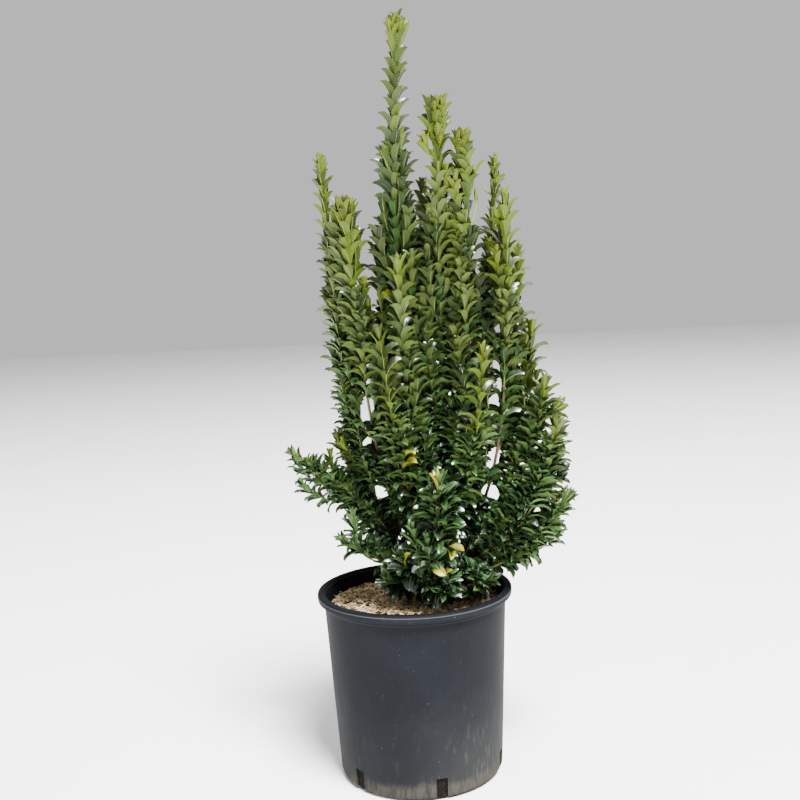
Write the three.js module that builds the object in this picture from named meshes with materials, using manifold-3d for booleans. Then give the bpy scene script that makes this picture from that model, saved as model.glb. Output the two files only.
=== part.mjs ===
// A potted upright Japanese spindle: an evergreen shrub of leafy spires in a round plastic nursery pot.
// Millimetres, +Z up. The origin is the centre of the pot's flat underside, +X is to the right and -Y is
// the front. Every limb and every mass of foliage is grown by the rules below from the table SHOOTS.

import * as THREE from "three";
import { mergeVertices } from "three/addons/utils/BufferGeometryUtils.js";
import Module from "manifold-3d";

const wasm = await Module();
wasm.setup();

const SEED = 20417;
const GAP = 0.3; // clearance between solids that touch on the real plant

// The pot, a round one of 250 mm across its rim
const POT = {
  height: 238,
  rimRadius: 125,
  rimDrop: 11,
  wallTopRadius: 116.5,
  baseRadius: 105,
  cornerRadius: 6,
  wall: 2.2,
  floor: 3,
  segments: 56,
};
const SLOTS = { count: 6, first: -47.5, width: 14, height: 28, inner: 92 };

// The mulched soil
const SOIL = { top: 217, edgeDip: 3, segments: 40 };

// The short main stem inside the foliage
const TRUNK = {
  foot: [25, 5],
  head: [19, 2],
  height: 98,
  flareRadius: 16,
  footRadius: 11.5,
  headRadius: 7,
  sides: 10,
};

// Limbs and stems
const BOUGH = { length: 38, radius: 3.3, tipRadius: 2.5, sides: 6, pieces: 3 };
const STEM = { radius: 2.5, tipRadius: 1.1, waist: 0.5 };
const CORE = { radius: 12, tipRadius: 3.6, taperLength: 300, share: 0.46 }; // the dense middle of a shoot
const TWIG = { radius: 1.5, tipRadius: 0.9, rise: 0.16, reach: 42, share: 0.5, every: 500 };

// Leaves, fewer and larger than life: each stands for two or three real ones
const LEAF = {
  length: 34,
  width: 20,
  thickness: 0.9,
  cup: 4,
  droop: 2,
  widest: 0.48,
  root: 3.5,
  tipPitch: 27,
  footPitch: 52,
  spreadLength: 220,
  pairSpacing: 25,
  twigSpacing: 18,
  tipGap: 6,
  sizes: [1, 0.86, 0.72, 0.58],
  clearance: 0.5,
};
const TIP_REACH = 17; // how far the topmost leaves stand above the end of their stem
const SKIRT = 258; // no leaf outside the pot hangs lower than this

// Each shoot: the point its leaves reach, how much of its way out lies before its elbow, and the elbow's
// height above the soil. exit is the height on the trunk where its bough leaves, above the soil.
const SHOOTS = {
  spire_centre: { tip: [9, 0, 953], elbow: [4, 330], side: [{ at: 0.28, tip: [-27, 30, 694] }] },
  spire_front: { tip: [-2, -55, 661], elbow: [0.9, 190], exit: 72 },
  spire_mid: { tip: [53, -15, 849], elbow: [0.75, 120], exit: 86, side: [{ at: 0.4, tip: [34, 27, 760] }] },
  spire_mid_right: { tip: [87, -12, 809], elbow: [0.95, 110], exit: 78 },
  spire_mid_back: { tip: [70, 36, 640], elbow: [0.9, 120], exit: 84 },
  spire_right_back: { tip: [126, 38, 783], elbow: [0.8, 110], exit: 70, slim: 0.85 },
  spire_right: { tip: [133, -16, 735], elbow: [1.0, 110], exit: 62, side: [{ at: 0.5, tip: [149, 14, 672] }] },
  spire_right_outer: { tip: [162, 4, 575], elbow: [0.9, 100], exit: 54 },
  flank_right_top: { tip: [172, -34, 508], elbow: [0.8, 92], exit: 46 },
  flank_right_front: { tip: [180, -66, 460], elbow: [0.84, 84], exit: 38 },
  flank_right: { tip: [198, 12, 442], elbow: [0.88, 78], exit: 32 },
  low_right_front: { tip: [192, -42, 366], elbow: [0.74, 52], exit: 24 },
  low_right: { tip: [178, 10, 312], elbow: [0.6, 42], exit: 14 },
  spire_left: { tip: [-91, 8, 793], elbow: [0.92, 112], exit: 68, slim: 0.88, side: [{ at: 0.08, tip: [-98, -8, 428] }] },
  spire_left_front: { tip: [-64, -24, 733], elbow: [0.8, 120], exit: 90, side: [{ at: 0.72, tip: [-76, -6, 726] }] },
  spray_front_left: { tip: [-28, -85, 579], elbow: [0.72, 190], exit: 50 },
  spray_front_right: { tip: [93, -80, 552], elbow: [0.86, 160], exit: 66 },
  low_left: { tip: [-142, -20, 436], elbow: [0.6, 128], exit: 44, slim: 0.9 },
  low_left_front: { tip: [-80, -42, 326], elbow: [0.62, 62], exit: 18 },
  spire_back_left: { tip: [-48, 74, 600], elbow: [0.9, 115], exit: 60 },
  spire_back: { tip: [24, 86, 664], elbow: [0.92, 115], exit: 78 },
  spire_back_right: { tip: [92, 84, 616], elbow: [0.92, 110], exit: 58 },
  flank_back_right: { tip: [152, 76, 486], elbow: [0.88, 90], exit: 40 },
  low_back: { tip: [42, 118, 402], elbow: [0.82, 70], exit: 24 },
  low_back_left: { tip: [-80, 72, 404], elbow: [0.82, 80], exit: 30 },
  low_front: { tip: [34, -100, 404], elbow: [0.8, 80], exit: 32 },
  foot_front_left: { tip: [-28, -46, 276], elbow: [0.6, 30], exit: 6, bough: 0 },
  foot_front: { tip: [34, -78, 272], elbow: [0.6, 28], exit: 14, bough: 0 },
  foot_front_right: { tip: [88, -56, 274], elbow: [0.6, 28], exit: 6, bough: 0 },
  foot_back_right: { tip: [84, 60, 276], elbow: [0.6, 28], exit: 6, bough: 0 },
  foot_back: { tip: [22, 80, 278], elbow: [0.6, 28], exit: 16, bough: 0 },
  foot_back_left: { tip: [-34, 46, 276], elbow: [0.6, 28], exit: 8, bough: 0 },
};

const COLOURS = {
  pot: { color: 0x3a3d42, roughness: 0.55 },
  soil: { color: 0xa88a62, roughness: 0.95 },
  bark: { color: 0x6a5a40, roughness: 0.85 },
  foliage: { color: 0x3f6b2a, roughness: 0.4 },
};

const part = new THREE.Group();
const materials = Object.fromEntries(
  Object.entries(COLOURS).map(([name, look]) => [name, new THREE.MeshStandardMaterial({ ...look, metalness: 0 })]),
);

// Seeded random numbers from 0 to 1
function randomFrom(seed) {
  let state = seed >>> 0;
  return () => {
    state = (state + 0x6d2b79f5) >>> 0;
    let t = Math.imul(state ^ (state >>> 15), state | 1);
    t ^= t + Math.imul(t ^ (t >>> 7), t | 61);
    return ((t ^ (t >>> 14)) >>> 0) / 4294967296;
  };
}

function vector(x, y, z) {
  return new THREE.Vector3(x, y, z);
}

function add(name, geometry, look) {
  const mesh = new THREE.Mesh(geometry, materials[look]);
  mesh.name = name;
  part.add(mesh);
}

// Solids from closed geometries, and back
function solidOf(geometry) {
  geometry.deleteAttribute("normal");
  geometry.deleteAttribute("uv");
  const merged = mergeVertices(geometry, 1e-4);
  return new wasm.Manifold(
    new wasm.Mesh({
      numProp: 3,
      vertProperties: merged.attributes.position.array,
      triVerts: new Uint32Array(merged.index.array),
    }),
  );
}

function geometryOf(solid) {
  const mesh = solid.getMesh();
  const geometry = new THREE.BufferGeometry();
  geometry.setAttribute("position", new THREE.BufferAttribute(mesh.vertProperties, 3));
  geometry.setIndex(new THREE.BufferAttribute(mesh.triVerts, 1));
  return geometry;
}

function meshOf(points, faces) {
  const geometry = new THREE.BufferGeometry();
  geometry.setAttribute("position", new THREE.Float32BufferAttribute(points.flatMap((p) => p.toArray()), 3));
  geometry.setIndex(faces.flat());
  return geometry;
}

function evenly(from, to, count) {
  return Array.from({ length: count + 1 }, (_, i) => Math.min(to, from + ((to - from) * i) / count));
}

// Points at shares of a curve's length, each with the curve's direction and two directions across it
function stations(curve, shares) {
  let side = vector(1, 0, 0);
  return shares.map((share) => {
    const along = curve.getTangentAt(share).normalize();
    side = side.clone().addScaledVector(along, -side.dot(along)).normalize();
    return { point: curve.getPointAt(share), along, side, across: along.clone().cross(side) };
  });
}

// The direction that leaves a station sideways at a turn about its stem
function outward(station, turn) {
  return station.side.clone().multiplyScalar(Math.cos(turn)).addScaledVector(station.across, Math.sin(turn));
}

// A bar with flat ends: a cylinder whose points are moved onto stations along a curve
function bar(list, radiusAt, sides) {
  const pieces = list.length - 1;
  const geometry = new THREE.CylinderGeometry(1, 1, pieces, sides, pieces);
  const position = geometry.attributes.position;
  for (let i = 0; i < position.count; i++) {
    const index = Math.round(position.getY(i) + pieces / 2);
    const turn = Math.atan2(-position.getZ(i), position.getX(i));
    const reach = Math.hypot(position.getX(i), position.getZ(i)) * radiusAt(index / pieces, turn);
    const point = list[index].point.clone().addScaledVector(outward(list[index], turn), reach);
    position.setXYZ(i, ...point.toArray());
  }
  return geometry;
}

function potInnerRadius(z) {
  const share = z / (POT.height - POT.rimDrop);
  return POT.baseRadius + (POT.wallTopRadius - POT.baseRadius) * share - POT.wall;
}

function buildPot() {
  const wallTop = POT.height - POT.rimDrop;
  const profile = [
    [0, 0],
    [POT.baseRadius - POT.cornerRadius, 0],
    [POT.baseRadius - POT.cornerRadius * 0.3, POT.cornerRadius * 0.3],
    [POT.baseRadius, POT.cornerRadius],
    [POT.wallTopRadius, wallTop - 5],
    [POT.wallTopRadius + 2.4, wallTop - 3.5],
    [POT.wallTopRadius + 2.6, wallTop],
    [POT.rimRadius - 1.2, wallTop + 0.8],
    [POT.rimRadius, wallTop + 3],
    [POT.rimRadius - 0.6, POT.height - 2],
    [POT.rimRadius - 3.5, POT.height],
    [potInnerRadius(POT.height) + 0.8, POT.height - 0.8],
    [potInnerRadius(POT.floor), POT.floor],
    [0, POT.floor],
  ];
  const pot = solidOf(
    new THREE.LatheGeometry(profile.map(([r, z]) => new THREE.Vector2(r, z)), POT.segments).rotateX(Math.PI / 2),
  );
  return Array.from({ length: SLOTS.count }, (_, i) => slotCutter(SLOTS.first + (360 / SLOTS.count) * i)).reduce(
    (solid, cutter) => solid.subtract(cutter),
    pot,
  );
}

// A drainage slot through the wall and the floor's edge, turned from the front by the given angle
function slotCutter(degrees) {
  const depth = POT.baseRadius + 15 - SLOTS.inner;
  const box = new THREE.BoxGeometry(SLOTS.width, depth, SLOTS.height + 10);
  box.translate(0, -(SLOTS.inner + depth / 2), SLOTS.height / 2 - 5);
  return solidOf(box.rotateZ(THREE.MathUtils.degToRad(degrees)));
}

function buildSoil() {
  const low = POT.floor + GAP;
  const profile = [
    [0, low],
    [potInnerRadius(low) - GAP, low],
    [potInnerRadius(SOIL.top - SOIL.edgeDip) - GAP, SOIL.top - SOIL.edgeDip],
    [potInnerRadius(SOIL.top) - 12, SOIL.top],
    [0, SOIL.top],
  ];
  return new THREE.LatheGeometry(
    profile.map(([r, z]) => new THREE.Vector2(r, z)),
    SOIL.segments,
  ).rotateX(Math.PI / 2);
}

const trunkCurve = new THREE.QuadraticBezierCurve3(
  vector(...TRUNK.foot, SOIL.top + GAP),
  vector(...TRUNK.foot, SOIL.top + TRUNK.height * 0.4),
  vector(...TRUNK.head, SOIL.top + TRUNK.height),
);

// The trunk tapers, and flares out in low ridges just above the soil. margin makes a wider copy for cutting.
function trunkRadius(share, turn, margin = 0) {
  const taper = TRUNK.footRadius + (TRUNK.headRadius - TRUNK.footRadius) * share;
  const flare = (TRUNK.flareRadius - TRUNK.footRadius) * Math.exp(-share * 9) * (1 + 0.25 * Math.cos(5 * turn));
  return taper + flare + margin;
}

function buildTrunk(margin = 0) {
  const list = stations(trunkCurve, evenly(0, 1, 6));
  return bar(list, (share, turn) => trunkRadius(share, turn, margin), TRUNK.sides);
}

// The curve of a shoot from the trunk's axis, out to its elbow and up to its tip
function shootCurve(shoot) {
  const [out, rise] = shoot.elbow;
  const tip = vector(...shoot.tip);
  tip.z -= TIP_REACH;
  const start = trunkCurve.getPointAt(shoot.exit === undefined ? 1 : shoot.exit / TRUNK.height);
  const elbow = vector(
    start.x + (tip.x - start.x) * out,
    start.y + (tip.y - start.y) * out,
    SOIL.top + rise,
  );
  const first = start.clone().lerp(elbow, 0.5);
  if (shoot.exit === undefined) first.set(start.x, start.y, (start.z + elbow.z) / 2);
  return new THREE.CubicBezierCurve3(start, first, elbow, tip);
}

// A side shoot leaves its stem at a share of its length and turns up to its own tip
function sideCurve(stem, side) {
  const tip = vector(...side.tip);
  tip.z -= TIP_REACH;
  const start = stem.curve.getPointAt(stem.from + (1 - stem.from) * side.at);
  const bend = vector(tip.x, tip.y, start.z + (tip.z - start.z) * 0.35);
  return new THREE.QuadraticBezierCurve3(start, bend, tip);
}

// A short twig leaves the stem outwards and rises
function twigCurve(station, turn, length) {
  const out = outward(station, turn);
  const bend = station.point.clone().addScaledVector(out, length * 0.55).addScaledVector(station.along, length * 0.3);
  const tip = station.point.clone().addScaledVector(out, length * 0.72).addScaledVector(station.along, length * 0.8);
  tip.z += length * TWIG.rise;
  return new THREE.QuadraticBezierCurve3(station.point.clone(), bend, tip);
}

// Spaces: the skeleton of every mass and limb as points, so that each leaf can be kept nearest its own
const LIMB_STEP = 5;
function samplesOf(curve, from = 0, to = 1) {
  const count = Math.max(1, Math.ceil((curve.getLength() * (to - from)) / LIMB_STEP));
  return evenly(from, to, count).map((share) => curve.getPointAt(share));
}

function nearest(samples, point) {
  return samples.reduce((least, s) => Math.min(least, s.distanceTo(point)), Infinity);
}

const masses = Object.entries(SHOOTS).map(([name, shoot], index) => {
  const curve = shootCurve(shoot);
  const boughLength = shoot.exit === undefined ? 0 : (shoot.bough ?? BOUGH.length);
  const from = boughLength / curve.getLength();
  const random = randomFrom(SEED + 97 * index);
  const mass = { name, shoot, curve, from, random, limbs: [], samples: [] };
  addLimb(mass, curve, from, "stem");
  for (const side of shoot.side ?? []) addLimb(mass, sideCurve(mass, side), 0, "side");
  return mass;
});

const woodSamples = [
  ...samplesOf(trunkCurve).map((point) => ({ point, radius: TRUNK.footRadius + 2 })),
  ...masses
    .filter((mass) => mass.from > 0)
    .flatMap((mass) => samplesOf(mass.curve, 0, mass.from).map((point) => ({ point, radius: BOUGH.radius + 1 }))),
];

// True where a point lies in the mass's own space, clear of the wood, the soil and the pot
function inSpace(mass, point, margin) {
  const own = nearest(mass.samples, point);
  const apart = masses.every((other) => other === mass || nearest(other.samples, point) > own + margin);
  const offWood = woodSamples.every((wood) => wood.point.distanceTo(point) > wood.radius);
  const reach = Math.hypot(point.x, point.y);
  const overRim = reach < POT.rimRadius + 4 ? POT.height + 3 : SKIRT;
  const floor = reach < POT.wallTopRadius - 8 ? SOIL.top + 2 : overRim;
  return apart && offWood && point.z > floor;
}

// Twigs on the lower part of each stem, by the mass's own seeded rule
function growTwigs(mass) {
  const length = mass.curve.getLength() * (1 - mass.from);
  const count = mass.shoot.bough === 0 ? 0 : Math.ceil(length / TWIG.every);
  for (let i = 0; i < count; i++) {
    const share = mass.from + (1 - mass.from) * TWIG.share * ((i + 0.35 + 0.4 * mass.random()) / count);
    const [station] = stations(mass.curve, [share]);
    const turn = 2.4 * i + mass.random() * 1.2;
    const reach = TWIG.reach * (1.1 - 0.5 * (i / count)) * (0.85 + 0.3 * mass.random());
    const fits = [0, 1.6, 3.2, 4.8]
      .map((extra) => twigCurve(station, turn + extra, reach))
      .find((curve) => samplesOf(curve, 0.4, 1).every((point) => inSpace(mass, point, 9)));
    if (!fits) continue;
    addLimb(mass, fits, 0, "twig");
  }
}

function addLimb(mass, curve, from, kind) {
  mass.limbs.push({ curve, from, kind, length: curve.getLength() * (1 - from) });
  mass.samples.push(...samplesOf(curve, from, 1));
}

function stemRadius(limb, share) {
  const [wide, thin] = limb.kind === "twig" ? [TWIG.radius, TWIG.tipRadius] : [STEM.radius, STEM.tipRadius];
  const start = limb.kind === "side" ? wide * 0.75 : wide;
  return start + (thin - start) * share;
}

// How wide the dense middle of a stem is at a point: it narrows to the tip and to its closest neighbour
function coreRadius(mass, limb, share, point) {
  const stem = stemRadius(limb, share);
  if (limb.kind === "twig") return stem;
  const taper = Math.min(1, ((1 - share) * limb.length) / CORE.taperLength) ** 0.7;
  const full = CORE.tipRadius + (CORE.radius - CORE.tipRadius) * taper;
  const beside = masses.filter((other) => other !== mass).map((other) => nearest(other.samples, point) * CORE.share);
  const wood = woodSamples.map((limbPoint) => limbPoint.point.distanceTo(point) - limbPoint.radius - 1);
  const edge = point.z < POT.height + 20 ? point.z - SOIL.top - 4 : Infinity;
  return Math.max(stem, Math.min(full, edge, ...beside, ...wood));
}

// The far points of one leaf, whose root is the upper edge of a stem's face: its halves fold up from the
// midrib, its tip droops, and it is keeled beneath, so that it has thickness from the root to the tip.
function leafPoints(root, turn, pitch, size) {
  const { along } = root.station;
  const out = outward(root.station, turn);
  const ahead = along.clone().multiplyScalar(Math.cos(pitch)).addScaledVector(out, Math.sin(pitch));
  const upper = along.clone().multiplyScalar(Math.sin(pitch)).addScaledVector(out, -Math.cos(pitch));
  const right = along.clone().cross(out);
  const origin = root.station.point.clone().addScaledVector(out, root.halfWidth);
  const place = (forward, sideways, height) =>
    origin
      .clone()
      .addScaledVector(ahead, forward * size)
      .addScaledVector(right, sideways * size)
      .addScaledVector(upper, height * size);
  const middle = LEAF.length * LEAF.widest;
  const flat = (root.halfWidth * (1 - LEAF.widest)) / ((LEAF.width / 2) * size);
  const depth = LEAF.droop * LEAF.widest + LEAF.cup * flat + LEAF.thickness / size;
  return {
    origin,
    left: place(middle, -LEAF.width / 2, LEAF.cup),
    right: place(middle, LEAF.width / 2, LEAF.cup),
    tip: place(LEAF.length, 0, -LEAF.droop),
    under: place(middle, 0, -depth / (1 - flat)),
  };
}

// The largest leaf that fits the mass's space there, or none
function fittingLeaf(mass, root, turn, pitch, scale) {
  for (const size of LEAF.sizes) {
    const leaf = leafPoints(root, turn, pitch, size * scale);
    const edge = [leaf.left.clone().lerp(leaf.tip, 0.5), leaf.right.clone().lerp(leaf.tip, 0.5)];
    const foot = [leaf.left.clone().lerp(leaf.origin, 0.4), leaf.right.clone().lerp(leaf.origin, 0.4)];
    const tested = [leaf.left, leaf.right, leaf.tip, leaf.under, ...edge, ...foot];
    if (tested.every((point) => inSpace(mass, point, LEAF.clearance))) return leaf;
  }
  return null;
}

// The ten faces of a leaf that grows out of one face of a stem, from its two low and two high corners
function leafFaces(lowLeft, lowRight, highRight, highLeft, left, right, tip, under) {
  return [
    [highLeft, left, tip],
    [highLeft, tip, highRight],
    [highRight, tip, right],
    [highLeft, lowLeft, left],
    [lowRight, highRight, right],
    [lowLeft, under, left],
    [lowLeft, lowRight, under],
    [lowRight, right, under],
    [left, under, tip],
    [under, right, tip],
  ];
}

// A four-sided stem with opposite leaves in pairs, each pair turned a quarter from the last, upright at the
// tip and spreading below. The stem widens up to each pair and steps in above it, like the close layers of
// small leaves that it stands for, and the leaves grow out of the step, so that the whole is one surface.
function leafyStem(mass, limb) {
  const spacing = limb.kind === "twig" ? LEAF.twigSpacing : LEAF.pairSpacing;
  const pairs = Math.max(2, Math.round(limb.length / spacing));
  const onTrunk = mass.shoot.bough === 0 && limb.kind === "stem";
  const leafless = onTrunk ? TRUNK.flareRadius + 6 : limb.kind === "stem" ? 0.35 * spacing : 0.85 * spacing;
  const firstShare = leafless / limb.length;
  const firstTurn = mass.random() * Math.PI;
  const points = [];
  const faces = [];
  const addPoint = (point) => points.push(point) - 1;
  const stationAt = (share) => stations(limb.curve, [limb.from + (1 - limb.from) * share])[0];
  const addRing = (share, radius) => {
    const station = stationAt(share);
    return [0, 1, 2, 3].map((k) => {
      const out = outward(station, firstTurn + (Math.PI / 2) * (k - 0.5));
      return addPoint(station.point.clone().addScaledVector(out, radius));
    });
  };
  const addWall = (low, high, leaves = []) => {
    for (let k = 0; k < 4; k++) {
      const next = (k + 1) % 4;
      if (leaves[k]) {
        const corners = [leaves[k].left, leaves[k].right, leaves[k].tip, leaves[k].under];
        faces.push(...leafFaces(low[k], low[next], high[next], high[k], ...corners.map(addPoint)));
      } else {
        faces.push([low[k], low[next], high[next]], [low[k], high[next], high[k]]);
      }
    }
  };

  const startShare = limb.kind === "stem" ? GAP / limb.length : 0;
  let ring = addRing(startShare, stemRadius(limb, 0));
  faces.push([ring[0], ring[2], ring[1]], [ring[0], ring[3], ring[2]]);
  const rootShare = LEAF.root / limb.length;
  for (let i = 0; i < pairs; i++) {
    const share = firstShare + ((1 - firstShare - LEAF.tipGap / limb.length) * i) / (pairs - 1);
    const station = stationAt(share);
    const wide = coreRadius(mass, limb, share, station.point);
    const narrow = Math.max(stemRadius(limb, share), wide * STEM.waist);
    const low = addRing(share - rootShare, wide);
    const high = addRing(share, narrow);
    const root = { station, halfWidth: narrow * Math.SQRT1_2 };
    const fromTip = (1 - share) * limb.length;
    const spread = Math.min(1, fromTip / LEAF.spreadLength) ** 0.6;
    const pitch = THREE.MathUtils.degToRad(LEAF.tipPitch + (LEAF.footPitch - LEAF.tipPitch) * spread);
    const scale = (mass.shoot.slim ?? 1) * (limb.kind === "twig" ? 0.85 : 0.8 + 0.2 * Math.min(1, fromTip / 60));
    const leaves = [];
    for (const k of [i % 2, (i % 2) + 2]) {
      const turn = firstTurn + (Math.PI / 2) * k + 0.3 * (mass.random() - 0.5);
      leaves[k] = fittingLeaf(mass, root, turn, pitch * (0.92 + 0.16 * mass.random()), scale);
    }
    addWall(ring, low);
    addWall(low, high, leaves);
    ring = high;
  }
  const bud = addPoint(stationAt(1).point);
  for (let k = 0; k < 4; k++) faces.push([ring[k], ring[(k + 1) % 4], bud]);
  return solidOf(meshOf(points, faces));
}

// A mass is its stem, side shoots and twigs in one. Only its outermost surface is kept, so that a hollow
// sealed between crossing leaves is filled and a loose scrap is dropped.
function buildMass(mass, wideTrunk) {
  const joined = mass.limbs.map((limb) => leafyStem(mass, limb)).reduce((one, limb) => one.add(limb));
  const whole = mass.shoot.bough === 0 ? joined.subtract(wideTrunk) : joined;
  return whole.decompose().reduce((largest, piece) => (piece.volume() > largest.volume() ? piece : largest));
}

// A bough runs from the trunk's side to the foot of its mass, cut to seat on the trunk
function buildBough(mass, wideTrunk) {
  const list = stations(mass.curve, evenly(0, mass.from, BOUGH.pieces));
  const slim = mass.shoot.bough ? 0.8 : 1;
  const radius = (share) => slim * (BOUGH.radius + (BOUGH.tipRadius - BOUGH.radius) * share);
  return solidOf(bar(list, radius, BOUGH.sides)).subtract(wideTrunk);
}

add("pot", geometryOf(buildPot()), "pot");
add("soil", buildSoil(), "soil");
add("trunk", buildTrunk(), "bark");
const wideTrunk = solidOf(buildTrunk(GAP));
for (const mass of masses) growTwigs(mass);
for (const mass of masses) {
  if (mass.from > 0) add("bough_" + mass.name, geometryOf(buildBough(mass, wideTrunk)), "bark");
  add("foliage_" + mass.name, geometryOf(buildMass(mass, wideTrunk)), "foliage");
}

export default part;
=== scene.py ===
"""A potted upright japanese spindle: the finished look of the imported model. Lengths are in millimetres until
a mesh is made, where they become metres. +X is to the right, -Y is the front and +Z is up."""

import math
from dataclasses import dataclass

import bpy
import numpy as np
from mathutils import Matrix, Vector, noise


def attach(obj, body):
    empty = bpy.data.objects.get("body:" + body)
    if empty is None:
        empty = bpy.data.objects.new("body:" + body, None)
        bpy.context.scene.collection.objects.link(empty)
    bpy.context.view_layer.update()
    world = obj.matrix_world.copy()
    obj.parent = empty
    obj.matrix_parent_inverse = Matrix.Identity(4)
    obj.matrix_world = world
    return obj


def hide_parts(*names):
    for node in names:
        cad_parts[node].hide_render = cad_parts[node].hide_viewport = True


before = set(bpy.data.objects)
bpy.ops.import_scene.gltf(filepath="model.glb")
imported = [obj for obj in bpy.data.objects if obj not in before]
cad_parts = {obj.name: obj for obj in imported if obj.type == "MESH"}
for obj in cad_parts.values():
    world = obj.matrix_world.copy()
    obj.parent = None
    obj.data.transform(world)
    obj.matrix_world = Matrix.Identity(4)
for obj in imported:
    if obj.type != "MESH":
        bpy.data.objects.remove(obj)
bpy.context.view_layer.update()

SEED = 20417
METRES = 0.001

# Camera, fitted to the pot's rim, wall and foot
CAMERA = {"distance": 1.261, "height": 0.605, "yaw": -0.33, "pitch": -5.68, "roll": -2.68, "lens": 45.0}

# Pot and soil, the sizes of the solids
POT = {"height": 238.0, "rim_radius": 125.0, "rim_drop": 11.0, "floor": 3.0}
WALL = {"top_radius": 116.5, "base_radius": 105.0, "thickness": 2.2}
SLOTS = {"count": 6, "first": -47.5, "width": 14.0, "height": 28.0, "inner": 92.0}
SOIL = {"top": 217.0, "edge_dip": 3.0}
# Leaves and twigs are over the mulch inside the wall, over the rim for its reach, or else over a height
CLEAR = {"inside": 109.0, "over_mulch": 1.5, "rim_reach": 130.0, "over_rim": 3.0, "height": 249.0}

# Trunk, boughs, stems and twigs. bark is the depth of the ridges.
TRUNK = {"foot": (25.0, 5.0), "head": (19.0, 2.0), "height": 98.0, "rings": 48, "sides": 32, "bark": 0.9}
TRUNK_RADII = (11.5, 7.0)
TRUNK_FLARE = 4.5
BOUGH = {"length": 38.0, "radii": (3.3, 2.5), "rings": 22, "sides": 14, "bark": 0.32}
STEM_RADII = (2.5, 0.9)
TWIG_RADII = (1.3, 0.7)
# The leafless start of a side shoot and of a twig, and how far leaves reach past the end of a limb
SIDE_BARE = 6.0
TWIG_BARE = 2.5
TIP_REACH = 17.0
# The crown's middle, seen from above
CROWN_MIDDLE = (19.0, 40.0, 0.0)


@dataclass
class Shoot:
    """tip is the point that the leaves reach. elbow is the share of the way out that lies before it, and its
    height above the soil. exit_height is where the shoot leaves the trunk, and the leader has none. side has
    the share of the stem where each side shoot leaves, and that one's tip. slim scales the leaves and the
    spread of the twigs, shade ages the leaves, clear_tip is the length at the tip without twigs, and bough
    says whether it starts as a bough."""

    tip: tuple
    elbow: tuple
    exit_height: float = None
    side: tuple = ()
    slim: float = 1.0
    shade: float = 0.0
    clear_tip: float = 122.0
    bough: bool = True


SHOOTS = {
    "spire_centre": Shoot((9, 0, 953), (4, 330), side=[(0.28, (-27, 30, 694))], slim=1.06, clear_tip=160),
    "spire_front": Shoot((-2, -55, 661), (0.9, 190), 72, shade=60),
    "spire_mid": Shoot((53, -15, 849), (0.75, 120), 86, side=[(0.4, (34, 27, 760))]),
    "spire_mid_right": Shoot((87, -12, 809), (0.95, 110), 78),
    "spire_mid_back": Shoot((70, 36, 640), (0.9, 120), 84),
    "spire_right_back": Shoot((126, 38, 783), (0.8, 110), 70, slim=0.85),
    "spire_right": Shoot((133, -16, 735), (1.0, 110), 62, side=[(0.5, (149, 14, 672))]),
    "spire_right_outer": Shoot((162, 4, 575), (0.9, 100), 54, shade=12),
    "flank_right_top": Shoot((172, -34, 508), (0.8, 92), 46, shade=30),
    "flank_right_front": Shoot((180, -66, 460), (0.84, 84), 38, shade=25),
    "flank_right": Shoot((194, 12, 441), (0.88, 78), 32, shade=25),
    "low_right_front": Shoot((192, -42, 366), (0.74, 52), 24, shade=30),
    "low_right": Shoot((178, 10, 312), (0.6, 42), 14, shade=40),
    "spire_left": Shoot((-91, 8, 793), (0.92, 112), 68, side=[(0.08, (-98, -8, 428))], slim=0.82),
    "spire_left_front": Shoot((-64, -24, 733), (0.8, 120), 90, side=[(0.72, (-76, -6, 726))]),
    "spray_front_left": Shoot((-28, -85, 579), (0.72, 190), 50),
    "spray_front_right": Shoot((93, -80, 552), (0.86, 160), 66, shade=14),
    "low_left": Shoot((-142, -20, 436), (0.6, 128), 44, slim=0.82, shade=130),
    "low_left_front": Shoot((-80, -42, 326), (0.62, 62), 18, shade=70),
    "spire_back_left": Shoot((-48, 74, 600), (0.9, 115), 60),
    "spire_back": Shoot((24, 86, 664), (0.92, 115), 78),
    "spire_back_right": Shoot((92, 84, 616), (0.92, 110), 58),
    "flank_back_right": Shoot((152, 76, 486), (0.88, 90), 40),
    "low_back": Shoot((42, 118, 402), (0.82, 70), 24, shade=60),
    "low_back_left": Shoot((-80, 72, 404), (0.82, 80), 30, shade=40),
    "low_front": Shoot((34, -100, 404), (0.8, 80), 32, slim=1.12, shade=140),
    "foot_front_left": Shoot((-28, -46, 276), (0.6, 30), 6, slim=1.12, bough=False),
    "foot_front": Shoot((34, -78, 272), (0.6, 28), 14, slim=1.12, bough=False),
    "foot_front_right": Shoot((88, -56, 274), (0.6, 28), 6, slim=1.12, bough=False),
    "foot_back_right": Shoot((84, 60, 276), (0.6, 28), 6, bough=False),
    "foot_back": Shoot((22, 80, 278), (0.6, 28), 16, bough=False),
    "foot_back_left": Shoot((-34, 46, 276), (0.6, 28), 8, bough=False),
}

# The leaves and twigs of these shoots are joined into one piece each
GROUPS = {
    "centre": ["spire_centre", "spire_front", "spray_front_left"],
    "middle": ["spire_mid", "spire_mid_right", "spire_mid_back", "spray_front_right"],
    "right": ["spire_right_back", "spire_right", "spire_right_outer", "flank_right_top"],
    "flank": ["flank_right_front", "flank_right", "low_right_front", "low_right"],
    "left": ["spire_left", "spire_left_front", "low_left", "low_left_front"],
    "back": ["spire_back_left", "spire_back", "spire_back_right", "flank_back_right"],
    "low": ["low_back", "low_back_left", "low_front"],
    "foot": [name for name in SHOOTS if name.startswith("foot_")],
}


# Curves
def between(ends, share):
    """What lies between two ends at a share of the way."""
    return ends[0] + (ends[1] - ends[0]) * share


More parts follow.
